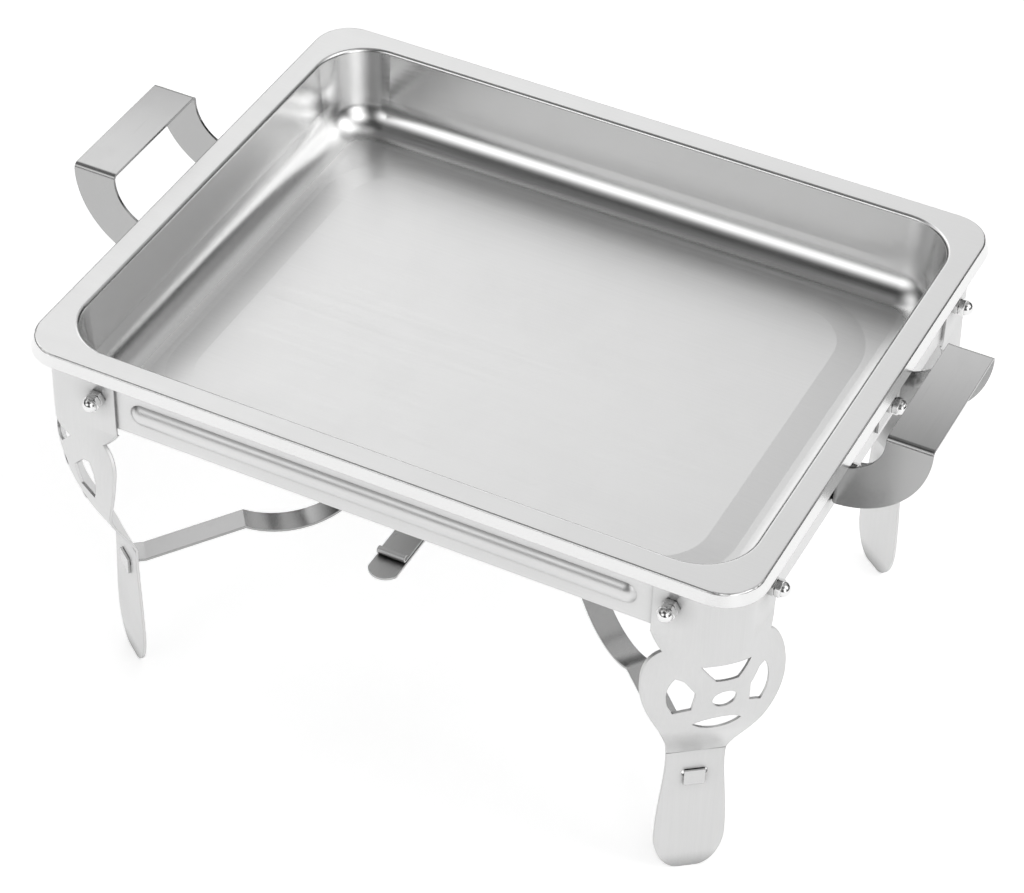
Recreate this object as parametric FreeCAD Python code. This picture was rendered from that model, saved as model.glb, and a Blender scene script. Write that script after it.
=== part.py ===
"""Half-size chafing dish: drop-in food pan, bolted sheet-metal stand and fuel burner.

Millimetres, +Z up, X along the dish, Y across it. The origin is on the table under the middle.
"""
import FreeCAD, Part
import math
import os

from FreeCAD import Placement, Rotation, Vector

os.makedirs("parts", exist_ok=True)

UP = Vector(0, 0, 1)
X_PLANE = Vector(1, 0, 0)
Y_PLANE = Vector(0, 1, 0)
ORIGIN = Vector(0, 0, 0)

# Food pan
rim_length = 325.0
rim_width = 265.0
rim_top = 188.0
rim_corner_radius = 17.0
rim_flange = 11.3
rim_lip = 5.5
rim_lip_flare = 1.7
rim_edge_radius = 1.8
lip_bend_radius = 1.0
pan_sheet = 0.8
pan_depth = 40.0
pan_draft = 4.0
opening_corner_radius = 24.0
floor_radius = 16.0
floor_land = 1.8
floor_band = 12.5
floor_rise = 1.0

# Stand: rails round the pan, on which the rim rests
rail_sheet = 1.2
rail_clearance_x = 4.0
rail_clearance_y = 2.5
rail_height = 33.7
rail_end_gap = 2.0
bead_height = 10.5
bead_depth = 2.6
bead_drop = 22.0
bead_end_margin = 44.0

# Legs: one stamped sheet each, wrapped round the corner and flattened towards the foot
leg_sheet = 1.2
leg_top_below_rim = 9.5
leg_wing = 37.0
leg_bend_radius = 15.0
wing_corner = 3.0
medallion_below_rim = 65.0
wing_above_medallion = 27.0
notch_above_medallion = 20.5
shoulder_above_medallion = 14.0
ear_above_medallion = 5.0
notch_half_width = 22.8
shoulder_half_width = 28.0
ear_half_width = 30.4
crease_height = 80.0
ankle_height = 70.0
ankle_inset = 31.5
ankle_half_width = 12.2
foot_twist = 8.0
paddle_half_width = 14.9
paddle_height = 20.0
toe_half_width = 3.5
toe_fullness = 0.55

# Pierced medallion, measured from its centre
medallion_radius = 21.5
medallion_hub_radius = 5.0

# Bolts: screw from inside, hexagon nut and domed cap nut outside
bolt_radius = 1.95
bolt_clearance = 0.2
nut_clearance = 0.05
bolt_from_corner = 28.9
bolt_below_rim = 20.0
head_radius = 4.2
head_height = 1.6
nut_across_flats = 7.0
nut_height = 2.8
cap_hex_height = 2.6
cap_dome_radius = 3.2
cap_socket_depth = 3.8
bolt_end_gap = 0.4

# Carrying handles on the end rails
handle_sheet = 1.2
handle_half_span = 34.0
handle_above_rim = 14.0
handle_bolt_above_rail_edge = 15.8
handle_outer_radius = 40.0
handle_band = 19.8
handle_bend = 2.6
handle_tab = 20.0
handle_bolt_from_end = 11.0

# Straps: two flat strips that cross under the burner, each from a front ankle to the opposite back one
strap_thick = 1.2
strap_width = 11.0
strap_foot = 58.0
strap_level_end = 7.0
strap_run = 51.0
strap_run_rise = 12.9
strap_dip_radius = 38.5
strap_dip_fall = 27.6
strap_crest_radius = 12.0
strap_platform_rise = 23.3
tongue_width = 9.0
tongue_length = 8.0
tongue_neck = 3.5
slit_clearance = 0.4
slit_past_tongue = 1.0
slit_drop = 2.6
ankle_gap = 0.2

# Burner tray, laid on the crossing straps, with four tabs turned down between them
tray_sheet = 1.2
tray_half_length = 24.0
tray_half_width = 16.0
tray_hook_drop = 6.0
tray_hook_clearance = 0.4

# Fuel cup with its handle and its swivelling lid
burner_x = -8.0
cup_radius = 42.0
cup_height = 23.3
cup_sheet = 0.8
cup_flange = 2.0
cup_floor_radius = 3.0
grip_width = 13.4
grip_sheet = 1.2
grip_gap = 0.4
grip_drop = 0.3
grip_reach = 111.0
grip_leg_length = 17.0
grip_bend = 2.4
grip_end_bow = 4.15
lower_rivet_rise = 4.0
rivet_pitch = 6.0
pad_margin = 3.5
rivet_radius = 1.9
rivet_head_radius = 3.4
rivet_head_height = 1.0
rivet_clearance = 0.05
rivet_end_gap = 0.3
lid_sheet = 0.8
lid_overlap = 1.0
lid_lift = 0.3
lid_tab_reach = 98.0
lid_tab_width = 13.0
lid_curl_radius = 1.7
lid_tab_overlap = 4.0
lid_boss_radius = 30.0
lid_boss_height = 1.2
lid_boss_offset = 0.4
pivot_clearance = 0.08
pivot_head_gap = 0.2
pivot_from_cup = 10.0

# Sheet left round an outline before it is cut, and how far a cutter runs past the metal
blank_margin = 5.0
wing_margin = 0.02
cut_past = 1.0

# Places worked out from the sizes above
opening_half_x = rim_length / 2 - rim_flange
opening_half_y = rim_width / 2 - rim_flange
pan_floor = rim_top - pan_depth
rail_top = rim_top - pan_sheet
rail_bottom = rail_top - rail_height
rail_inner_x = opening_half_x + pan_sheet + rail_clearance_x
rail_inner_y = opening_half_y + pan_sheet + rail_clearance_y
rail_outer_x = rail_inner_x + rail_sheet
rail_outer_y = rail_inner_y + rail_sheet
corner_x = rail_outer_x + leg_sheet
corner_y = rail_outer_y + leg_sheet
leg_top = rim_top - leg_top_below_rim
medallion_height = rim_top - medallion_below_rim
wing_foot = medallion_height + wing_above_medallion
bolt_height = rim_top - bolt_below_rim
handle_top = rim_top + handle_above_rim
handle_bolt_height = rail_bottom + handle_bolt_above_rail_edge
handle_low = handle_bolt_height - handle_band / 2
tray_bottom = strap_foot + strap_platform_rise + 2 * strap_thick
tray_top = tray_bottom + tray_sheet
cup_top = tray_top + cup_height
lid_bottom = cup_top + lid_lift
lid_top = lid_bottom + lid_sheet
grip_top = cup_top - grip_drop
pivot_y = -(cup_radius + pivot_from_cup)


def save(shape, node):
    """Write one piece, or one group of loose pieces, to its own file."""
    shape.exportStep("parts/" + node + ".step")


def box(x0, x1, y0, y1, z0, z1):
    return Part.makeBox(x1 - x0, y1 - y0, z1 - z0, Vector(x0, y0, z0))


def line(a, b):
    return Part.makeLine(a, b)


def arc(a, middle, b):
    return Part.Arc(a, middle, b).toShape()


def plate(edges, direction):
    """Extrude the face inside a closed chain of edges."""
    return Part.Face(Part.Wire(edges)).extrude(direction)


def mirrored(shape, across_x, across_y):
    """Copy a piece of the front right quarter to another quarter."""
    if across_x:
        shape = shape.mirror(ORIGIN, X_PLANE)
    if across_y:
        shape = shape.mirror(ORIGIN, Y_PLANE)
    return shape


def rounded_rectangle(half_x, half_y, radius, z):
    """Closed wire with four straight sides and four quarter-circle corners."""
    edges = []
    corners = [(1, -1, -90), (1, 1, 0), (-1, 1, 90), (-1, -1, 180)]
    ends = []
    for side_x, side_y, start in corners:
        centre = Vector(side_x * (half_x - radius), side_y * (half_y - radius), z)
        points = []
        for turn in (0, 45, 90):
            angle = math.radians(start + turn)
            points.append(centre + Vector(math.cos(angle), math.sin(angle), 0) * radius)
        ends.append(points)
    for index, points in enumerate(ends):
        following = ends[(index + 1) % 4]
        edges.append(arc(points[0], points[1], points[2]))
        edges.append(line(points[2], following[0]))
    return Part.Wire(edges)


def tapered_block(half_x, half_y, radius, z_high, z_low, inset):
    """Rounded block whose walls lean in by the inset towards its floor."""
    high = rounded_rectangle(half_x, half_y, radius, z_high)
    low = rounded_rectangle(half_x - inset, half_y - inset, radius - inset, z_low)
    return Part.makeLoft([low, high], True, True)


def edges_at(shape, z, half_x, half_y, tolerance=0.05):
    """Edges that lie at one height and inside the given half sizes."""
    found = []
    for edge in shape.Edges:
        bounds = edge.BoundBox
        if abs(bounds.ZMin - z) > tolerance or abs(bounds.ZMax - z) > tolerance:
            continue
        if max(abs(bounds.XMin), abs(bounds.XMax)) > half_x + tolerance:
            continue
        if max(abs(bounds.YMin), abs(bounds.YMax)) > half_y + tolerance:
            continue
        found.append(edge)
    return found


def basin(grow, floor_z, z_high, radius):
    """The basin's form, larger all round by the given growth, with its rounded floor edge."""
    slope = math.tan(math.radians(pan_draft))
    inset = (z_high - floor_z) * slope
    top_grow = grow + (z_high - rim_top) * slope
    half_x = opening_half_x + top_grow
    half_y = opening_half_y + top_grow
    block = tapered_block(half_x, half_y, opening_corner_radius + top_grow, z_high, floor_z, inset)
    rounded = block.makeFillet(radius, edges_at(block, floor_z, half_x, half_y))
    return rounded


def floor_plateau(base_z):
    """The gently sloped band and the flat, slightly raised middle of the pan's floor."""
    inset = pan_depth * math.tan(math.radians(pan_draft)) + floor_radius + floor_land
    half_x = opening_half_x - inset
    half_y = opening_half_y - inset
    band_corner = opening_corner_radius
    high = rounded_rectangle(half_x - floor_band, half_y - floor_band, band_corner, base_z + floor_rise)
    low = rounded_rectangle(half_x, half_y, band_corner + floor_band, base_z)
    return Part.makeLoft([low, high], True, True)


def make_pan():
    half_x = rim_length / 2
    half_y = rim_width / 2
    lip_bottom = rim_top - rim_lip
    rim = tapered_block(half_x, half_y, rim_corner_radius, rim_top, lip_bottom, -rim_lip_flare)
    rim = rim.makeFillet(lip_bend_radius, edges_at(rim, rim_top, half_x, half_y))
    inside_x = half_x - pan_sheet
    inside_y = half_y - pan_sheet
    inside_radius = rim_corner_radius - pan_sheet
    under = tapered_block(inside_x, inside_y, inside_radius, rail_top, lip_bottom, -rim_lip_flare)
    under = under.makeFillet(lip_bend_radius - pan_sheet, edges_at(under, rail_top, inside_x, inside_y))
    rim = rim.cut(under)
    outer = basin(pan_sheet, pan_floor - pan_sheet, rail_top + pan_sheet / 2, floor_radius + pan_sheet)
    outer = outer.cut(floor_plateau(pan_floor - pan_sheet))
    body = rim.fuse(outer)
    cavity = basin(0.0, pan_floor, rim_top + cut_past, floor_radius)
    cavity = cavity.cut(floor_plateau(pan_floor))
    body = body.cut(cavity)
    throat = edges_at(body, rim_top, opening_half_x, opening_half_y)
    body = body.makeFillet(rim_edge_radius, throat)
    shoulder_x = opening_half_x + pan_sheet
    shoulder_y = opening_half_y + pan_sheet
    shoulder = edges_at(body, rail_top, shoulder_x, shoulder_y)
    return body.makeFillet(rim_edge_radius - pan_sheet, shoulder)


def bolt_hole(start, direction, sheet):
    """Cutter for a bolt's hole through a sheet that starts at the given point."""
    start = start - direction * cut_past
    return Part.makeCylinder(bolt_radius + bolt_clearance, sheet + 2 * cut_past, start, direction)


def bead_form(radius, half_length, centre_y, centre_z):
    """Round-ended rod along X, part of which stands out of the rail."""
    rod = Part.makeCylinder(radius, 2 * half_length, Vector(-half_length, centre_y, centre_z), X_PLANE)
    for side in (-1, 1):
        ball = Part.makeSphere(radius, Vector(side * half_length, centre_y, centre_z))
        rod = rod.fuse(ball)
    return rod


def make_front_rail():
    """Long rail with one raised bead, pressed outwards from a flat strip."""
    end = corner_x - leg_bend_radius - rail_end_gap
    strip = box(-end, end, -rail_outer_y, -rail_inner_y, rail_bottom, rail_top)
    half_chord = bead_height / 2
    radius = (half_chord ** 2 + bead_depth ** 2) / (2 * bead_depth)
    centre_y = -rail_outer_y - bead_depth + radius
    centre_z = rail_top - bead_drop
    half_length = corner_x - bead_end_margin - half_chord
    outside = bead_form(radius, half_length, centre_y, centre_z)
    inside = bead_form(radius - rail_sheet, half_length, centre_y, centre_z)
    limit = box(-end, end, -rail_outer_y - bead_depth - cut_past, -rail_inner_y, rail_bottom, rail_top)
    rail = strip.fuse(outside.common(limit)).cut(inside)
    for side in (-1, 1):
        place = Vector(side * (corner_x - bolt_from_corner), -rail_outer_y, bolt_height)
        rail = rail.cut(bolt_hole(place, Y_PLANE, rail_sheet))
    return rail


def handle_bolt_places():
    """Distances across the dish and heights of one handle's two bolts."""
    offset = handle_half_span - handle_bolt_from_end
    return [(-offset, handle_bolt_height), (offset, handle_bolt_height)]


def make_right_rail():
    """Plain end rail, bored for the leg bolts and the handle bolts."""
    end = corner_y - leg_bend_radius - rail_end_gap
    rail = box(rail_inner_x, rail_outer_x, -end, end, rail_bottom, rail_top)
    places = [(side * (corner_y - bolt_from_corner), bolt_height) for side in (-1, 1)]
    for y, z in places + handle_bolt_places():
        rail = rail.cut(bolt_hole(Vector(rail_inner_x, y, z), X_PLANE, rail_sheet))
    return rail


def leg_section(z, inset, angle, radius, reach, twist=0.0):
    """Closed section of the leg's sheet: two flats joined by an arc, in the leg's own axes."""
    turn = math.radians(angle)
    centre = Vector(0, inset + radius, z)

    def on_arc(distance, share):
        direction = Vector(math.sin(share * turn), -math.cos(share * turn), 0)
        return centre + direction * distance

    def past_arc(distance, side):
        start = on_arc(distance, side)
        along = Vector(side * math.cos(turn), math.sin(turn), 0)
        length = (reach - radius * math.sin(turn)) / math.cos(turn)
        return start + along * length

    inner = radius - leg_sheet
    edges = [
        line(past_arc(radius, -1), on_arc(radius, -1)),
        arc(on_arc(radius, -1), on_arc(radius, 0), on_arc(radius, 1)),
        line(on_arc(radius, 1), past_arc(radius, 1)),
        line(past_arc(radius, 1), past_arc(inner, 1)),
        line(past_arc(inner, 1), on_arc(inner, 1)),
        arc(on_arc(inner, 1), on_arc(inner, 0), on_arc(inner, -1)),
        line(on_arc(inner, -1), past_arc(inner, -1)),
        line(past_arc(inner, -1), past_arc(radius, -1)),
    ]
    section = Part.Wire(edges)
    section.rotate(Vector(0, inset, z), UP, -twist)
    return section


def leg_outline():
    """Outline of the leg seen along its diagonal: wings, notch, ears, ankle and paddle foot."""
    wing_edge = leg_wing / math.sqrt(2) + wing_margin
    wing_low = (wing_edge, wing_foot + wing_corner)
    notch = (notch_half_width, medallion_height + notch_above_medallion)
    tuck = (notch[0] + 0.67 * (wing_edge - notch[0]), notch[1] + 0.42 * (wing_low[1] - notch[1]))
    shoulder = (shoulder_half_width, medallion_height + shoulder_above_medallion)
    ear = (ear_half_width, medallion_height + ear_above_medallion)
    ankle = (ankle_half_width, ankle_height)
    paddle = (paddle_half_width, paddle_height)

    def between(a, b, share_across, share_down):
        return (a[0] + (b[0] - a[0]) * share_across, a[1] + (b[1] - a[1]) * share_down)

    sweep = [(0.0, 0.0), (0.005, 0.13), (0.11, 0.267), (0.31, 0.409), (0.626, 0.621), (0.857, 0.819),
             (0.98, 0.98)]
    flare = [(0.0, 0.16), (0.44, 0.48), (0.89, 0.8), (1.0, 1.0)]
    side = [between(ear, ankle, across, down) for across, down in sweep]
    side += [between(ankle, paddle, across, down) for across, down in flare]

    def half(sign):
        def at(point):
            return Vector(sign * point[0], 0, point[1])
        curve = Part.BSplineCurve()
        curve.interpolate([at(point) for point in side])
        toe = at((toe_half_width, 0))
        full_x = toe_half_width + toe_fullness * (paddle_half_width - toe_half_width)
        rounding = Part.BezierCurve()
        rounding.setPoles([at(paddle), at((paddle_half_width, (1 - toe_fullness) * paddle_height)),
                           at((full_x, 0)), toe])
        cut_back = wing_corner * (1 - math.sqrt(0.5))
        corner = (wing_edge - cut_back, leg_top - cut_back)
        return [
            line(at((0, leg_top)), at((wing_edge - wing_corner, leg_top))),
            arc(at((wing_edge - wing_corner, leg_top)), at(corner), at((wing_edge, leg_top - wing_corner))),
            line(at((wing_edge, leg_top - wing_corner)), at(wing_low)),
            arc(at(wing_low), at(tuck), at(notch)),
            arc(at(notch), at(shoulder), at(ear)),
            curve.toShape(),
            rounding.toShape(),
            line(toe, ORIGIN),
        ]

    return Part.Wire(Part.__sortEdges__(half(1) + half(-1)))


def medallion_holes():
    """The five piercings: a hub hole, a top trapezium, two side panes and a lower lens."""
    def at(x, z):
        return Vector(x, 0, medallion_height + z)
    rim = medallion_radius
    shapes = []
    hub = Part.Circle(at(0, 0), Y_PLANE, medallion_hub_radius).toShape()
    shapes.append([hub])
    upper_left = at(-0.485 * rim, 0.865 * rim)
    upper_right = at(0.485 * rim, 0.865 * rim)
    lower_left = at(-0.215 * rim, 0.545 * rim)
    lower_right = at(0.215 * rim, 0.545 * rim)
    shapes.append([arc(upper_left, at(0, 0.97 * rim), upper_right), line(upper_right, lower_right),
                   line(lower_right, lower_left), line(lower_left, upper_left)])
    lens_left = at(-0.475 * rim, -0.85 * rim)
    lens_right = at(0.475 * rim, -0.85 * rim)
    shapes.append([arc(lens_left, at(0, -0.62 * rim), lens_right),
                   arc(lens_right, at(0, -1.03 * rim), lens_left)])
    for side in (-1, 1):
        top = at(side * 0.87 * rim, 0.44 * rim)
        low = at(side * 0.85 * rim, -0.53 * rim)
        inner_low = at(side * 0.56 * rim, -0.33 * rim)
        inner_high = at(side * 0.53 * rim, 0.16 * rim)
        inner_top = at(side * 0.73 * rim, 0.42 * rim)
        shapes.append([arc(top, at(side * 1.0 * rim, -0.03 * rim), low),
                       line(low, inner_low), line(inner_low, inner_high),
                       line(inner_high, inner_top), line(inner_top, top)])
    return shapes


def leg_sheet_form():
    """The bent sheet before its outline is cut: a square corner above that opens out into a flat foot."""
    wing_reach = leg_wing / math.sqrt(2)
    reach = ear_half_width + blank_margin
    top_inset = leg_bend_radius * (math.sqrt(2) - 1)
    wings = Part.Face(leg_section(wing_foot, top_inset, 45.0, leg_bend_radius, wing_reach))
    wings = wings.extrude(UP * (leg_top - wing_foot))
    # Share of the way down to the crease, inset share, fold angle, growth of the bend, twist share
    upper = [(0.0, 0.0, 45.0, 0.0, 0.0),
             (0.1, 0.004, 41.0, 2.0, 0.0),
             (0.271, 0.028, 34.0, 8.0, 0.05),
             (0.4, 0.08, 28.5, 13.0, 0.15),
             (0.571, 0.198, 21.5, 21.0, 0.35),
             (0.743, 0.372, 15.0, 33.0, 0.6),
             (0.9, 0.62, 9.5, 55.0, 0.8)]
    # The same from the crease down to the ankle
    lower = [(0.2, 0.842, 5.0, 95.0, 0.95),
             (1.0, 1.0, 1.0, 235.0, 1.0)]
    sections = []
    for stations, high, low in ((upper, wing_foot, crease_height), (lower, crease_height, ankle_height)):
        for down, inward, angle, growth, twist in stations:
            z = high + (low - high) * down
            inset = top_inset + (ankle_inset - top_inset) * inward
            radius = leg_bend_radius + growth
            sections.append(leg_section(z, inset, angle, radius, reach, foot_twist * twist))
    body = Part.makeLoft(sections, True, False)
    foot = box(-reach, reach, ankle_inset, ankle_inset + leg_sheet, 0, ankle_height)
    foot.Placement = foot_turn()
    return wings.fuse([body, foot])


def strap_slot():
    """Level slit in the ankle for the strap's tongue, with rounded ends that stay open beside it."""
    near = ankle_inset - cut_past
    far = ankle_inset + leg_sheet + cut_past
    high = strap_foot + strap_thick + slit_clearance
    low = strap_foot - slit_drop
    round_end = (high - low) / 2
    reach = tongue_width / 2 + slit_past_tongue - round_end
    slot = box(-reach, reach, near, far, low, high)
    for side in (-1, 1):
        centre = Vector(side * reach, near, low + round_end)
        slot = slot.fuse(Part.makeCylinder(round_end, far - near, centre, Y_PLANE))
    slot.Placement = foot_turn()
    return slot


def make_front_right_leg():
    """Leg in its own axes first: X along the sheet, Y inwards to the dish, Z up."""
    outline = Part.Face(leg_outline())
    outline.translate(Vector(0, -cut_past, 0))
    leg = leg_sheet_form().common(outline.extrude(Y_PLANE * corner_x))
    for edges in medallion_holes():
        hole = Part.Face(Part.Wire(edges))
        hole.translate(Vector(0, -cut_past, 0))
        leg = leg.cut(hole.extrude(Y_PLANE * corner_x))
    leg = leg.cut(strap_slot())
    leg.Placement = leg_placement().multiply(leg.Placement)
    front = Vector(corner_x - bolt_from_corner, -corner_y, bolt_height)
    leg = leg.cut(bolt_hole(front, Y_PLANE, leg_sheet))
    side = Vector(corner_x - leg_sheet, -(corner_y - bolt_from_corner), bolt_height)
    return leg.cut(bolt_hole(side, X_PLANE, leg_sheet))


def leg_placement():
    """From the leg's own axes to the front right corner of the stand."""
    return Placement(Vector(corner_x, -corner_y, 0), Rotation(UP, 45))


def foot_turn():
    """Small turn of the flat foot about its upright middle line, in the leg's own axes."""
    return Placement(ORIGIN, Rotation(UP, -foot_twist), Vector(0, ankle_inset, 0))


def foot_placement():
    """From the turned foot's axes to the front right corner of the stand."""
    return leg_placement().multiply(foot_turn())


def hexagon(height):
    """Hexagonal prism standing on z = 0."""
    corner = nut_across_flats / math.sqrt(3)
    points = [Vector(corner, 0, 0)]
    for index in range(1, 7):
        angle = math.radians(60 * index)
        points.append(Vector(corner * math.cos(angle), corner * math.sin(angle), 0))
    return Part.Face(Part.makePolygon(points)).extrude(UP * height)


def bolt_pieces(clamped):
    """Screw, hexagon nut and cap nut on +Z; z = 0 is the outer face of what is clamped."""
    shank_top = nut_height + cap_socket_depth - bolt_end_gap
    shank = Part.makeCylinder(bolt_radius, clamped + shank_top, Vector(0, 0, -clamped), UP)
    ball_radius = (head_radius ** 2 + head_height ** 2) / (2 * head_height)
    ball = Part.makeSphere(ball_radius, Vector(0, 0, -clamped - head_height + ball_radius))
    slab = box(-head_radius, head_radius, -head_radius, head_radius, -clamped - head_height, -clamped)
    screw = shank.fuse(ball.common(slab))
    bore = bolt_radius + nut_clearance
    nut = hexagon(nut_height).cut(Part.makeCylinder(bore, nut_height))
    dome = Part.makeSphere(cap_dome_radius, Vector(0, 0, cap_hex_height))
    dome = dome.common(box(-cap_dome_radius, cap_dome_radius, -cap_dome_radius, cap_dome_radius,
                           cap_hex_height, cap_hex_height + cap_dome_radius))
    cap = hexagon(cap_hex_height).fuse(dome).cut(Part.makeCylinder(bore, cap_socket_depth))
    cap.translate(Vector(0, 0, nut_height))
    return [screw, nut, cap]


def bolt_sets(places, clamped):
    """Groups of like pieces for a list of (point, outward direction)."""
    groups = [[], [], []]
    for point, direction in places:
        turn = Placement(point, Rotation(UP, direction))
        for group, piece in zip(groups, bolt_pieces(clamped)):
            piece.Placement = turn.multiply(piece.Placement)
            group.append(piece)
    return [Part.makeCompound(group) for group in groups]


def leg_bolt_places():
    places = []
    for side_x in (-1, 1):
        for side_y in (-1, 1):
            front = Vector(side_x * (corner_x - bolt_from_corner), side_y * corner_y, bolt_height)
            places.append((front, Vector(0, side_y, 0)))
            end = Vector(side_x * corner_x, side_y * (corner_y - bolt_from_corner), bolt_height)
            places.append((end, Vector(side_x, 0, 0)))
    return places


def handle_bridge(inset, bend, low):
    """Block under the folded strip: level on top, rounded shoulders and upright sides."""
    half = handle_half_span - inset
    top = handle_top - inset
    corner = bend * (1 - math.sqrt(0.5))

    def at(y, z):
        return Vector(rail_outer_x, y, z)
    return plate([line(at(-half, low), at(-half, top - bend)),
                  arc(at(-half, top - bend), at(corner - half, top - corner), at(bend - half, top)),
                  line(at(bend - half, top), at(half - bend, top)),
                  arc(at(half - bend, top), at(half - corner, top - corner), at(half, top - bend)),
                  line(at(half, top - bend), at(half, low)),
                  line(at(half, low), at(-half, low))], X_PLANE * handle_outer_radius)


def handle_fold(side):
    """Cheek end and tab, joined by a bend that lies against the rail."""
    span = handle_half_span
    sheet = handle_sheet
    bend = handle_bend
    outer_mid = bend * (1 - math.sqrt(0.5))
    inner_mid = sheet + (bend - sheet) * (1 - math.sqrt(0.5))
    past = bend + handle_sheet

    def at(x, y):
        return Vector(rail_outer_x + x, side * y, handle_low)
    return plate([line(at(past, span), at(bend, span)),
                  arc(at(bend, span), at(outer_mid, span - outer_mid), at(0, span - bend)),
                  line(at(0, span - bend), at(0, span - handle_tab)),
                  line(at(0, span - handle_tab), at(sheet, span - handle_tab)),
                  line(at(sheet, span - handle_tab), at(sheet, span - bend)),
                  arc(at(sheet, span - bend), at(inner_mid, span - inner_mid), at(bend, span - sheet)),
                  line(at(bend, span - sheet), at(past, span - sheet)),
                  line(at(past, span - sheet), at(past, span))], UP * handle_band)


def handle_profile():
    """Side view of the handle's band: a quarter turn from the rail up to the grip."""
    outer = handle_outer_radius
    inner = outer - handle_band
    hub = handle_low + outer
    high = hub + handle_top
    slant = math.sqrt(0.5)

    def at(x, z):
        return Vector(rail_outer_x + x, -handle_half_span - cut_past, z)
    return plate([line(at(0, handle_low), at(0, hub - inner)),
                  arc(at(0, hub - inner), at(inner * slant, hub - inner * slant), at(inner, hub)),
                  line(at(inner, hub), at(inner, high)),
                  line(at(inner, high), at(outer, high)),
                  line(at(outer, high), at(outer, hub)),
                  arc(at(outer, hub), at(outer * slant, hub - outer * slant), at(0, handle_low))],
                 Y_PLANE * (2 * handle_half_span + 2 * cut_past))


def make_right_handle():
    """Folded handle: level grip, two quarter-round cheeks and two tabs on the end rail."""
    past = handle_low - cut_past
    sheet = handle_bridge(0.0, handle_bend, handle_low)
    sheet = sheet.cut(handle_bridge(handle_sheet, handle_bend - handle_sheet, past))
    reach = handle_half_span + cut_past
    sheet = sheet.cut(box(rail_outer_x - cut_past, rail_outer_x + handle_bend, -reach, reach,
                          past, handle_top + cut_past))
    sheet = sheet.fuse([handle_fold(-1), handle_fold(1)])
    handle = sheet.common(handle_profile())
    for y, z in handle_bolt_places():
        handle = handle.cut(bolt_hole(Vector(rail_outer_x, y, z), X_PLANE, handle_sheet))
    return handle


def strap_stretch(a, b):
    """Straight stretch of the strap, drawn as its profile lying down."""
    along = (b - a).normalize()
    half = Vector(-along.y, along.x, 0) * (strap_thick / 2)
    return plate([line(a + half, b + half), line(b + half, b - half), line(b - half, a - half),
                  line(a - half, a + half)], UP * strap_width)


def strap_bend(centre, radius, start, finish):
    """Curved stretch of the strap between two angles."""
    def at(distance, share):
        angle = math.radians(start + (finish - start) * share)
        return centre + Vector(math.cos(angle), math.sin(angle), 0) * distance
    outer = radius + strap_thick / 2
    inner = radius - strap_thick / 2
    return plate([arc(at(outer, 0), at(outer, 0.5), at(outer, 1)), line(at(outer, 1), at(inner, 1)),
                  arc(at(inner, 1), at(inner, 0.5), at(inner, 0)), line(at(inner, 0), at(outer, 0))],
                 UP * strap_width)


def strap_half(platform, ankle):
    """Half a strap's profile: level middle, crest, dip, crease, sloping run and level end.

    X runs outwards from the crossing, Y up; the platform is the height of the middle.
    """
    level = strap_foot + strap_thick / 2
    crease = Vector(ankle - strap_run, level + strap_run_rise, 0)
    fall = math.radians(strap_dip_fall)
    dip = crease + Vector(-math.sin(fall), math.cos(fall), 0) * strap_dip_radius
    middle = platform + strap_thick / 2
    climb = math.acos((dip.y + strap_crest_radius - middle) / (strap_dip_radius + strap_crest_radius))
    meeting = dip + Vector(-math.sin(climb), -math.cos(climb), 0) * strap_dip_radius
    crest = meeting + Vector(-math.sin(climb), -math.cos(climb), 0) * strap_crest_radius
    flat_end = Vector(crest.x, middle, 0)
    run_end = Vector(ankle - strap_level_end, level, 0)
    half_thick = strap_thick / 2
    pieces = [
        strap_stretch(Vector(0, middle, 0), flat_end),
        strap_bend(crest, strap_crest_radius, 90, 90 - math.degrees(climb)),
        strap_bend(dip, strap_dip_radius, 270 - math.degrees(climb), 270 + strap_dip_fall),
        Part.makeCylinder(half_thick, strap_width, crease, UP),
        strap_stretch(crease, run_end),
        Part.makeCylinder(half_thick, strap_width, run_end, UP),
        strap_stretch(run_end, Vector(ankle + strap_width, level, 0)),
    ]
    return pieces[0].fuse(pieces[1:])


def strap_tongue():
    """Neck through the ankle's slit and the tongue folded down over its outer face."""
    half = tongue_width / 2
    outer = ankle_inset - strap_thick
    neck_end = ankle_inset + leg_sheet + ankle_gap + tongue_neck
    neck = box(-half, half, outer, neck_end, strap_foot, strap_foot + strap_thick)
    tongue = box(-half, half, outer, ankle_inset, strap_foot + strap_thick - tongue_length, strap_foot)
    return neck.fuse(tongue)


def make_strap(platform):
    """Whole strap from the front right ankle to the back left one."""
    inner_face = ankle_inset + leg_sheet
    ankle = foot_placement().multVec(Vector(0, inner_face, 0))
    heading = math.degrees(math.atan2(ankle.y, ankle.x))
    half = strap_half(platform, math.hypot(ankle.x, ankle.y))
    half.translate(Vector(0, 0, -strap_width / 2))
    upright = Placement(ORIGIN, Rotation(X_PLANE, 90))
    half.Placement = Placement(ORIGIN, Rotation(UP, heading)).multiply(upright).multiply(half.Placement)
    inside = box(-strap_width, strap_width, inner_face + ankle_gap, 2 * corner_x,
                 strap_foot - strap_thick, rim_top)
    inside.Placement = foot_placement()
    far_x = ankle.x - strap_level_end
    far_y = -ankle.y - strap_level_end
    reach = box(-far_x, far_x, -far_y, far_y, 0, rim_top)
    half = half.common(inside.fuse(reach))
    tongue = strap_tongue()
    tongue.Placement = foot_placement()
    half = half.fuse(tongue)
    return half.fuse(mirrored(half, True, True)).removeSplitter()


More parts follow.
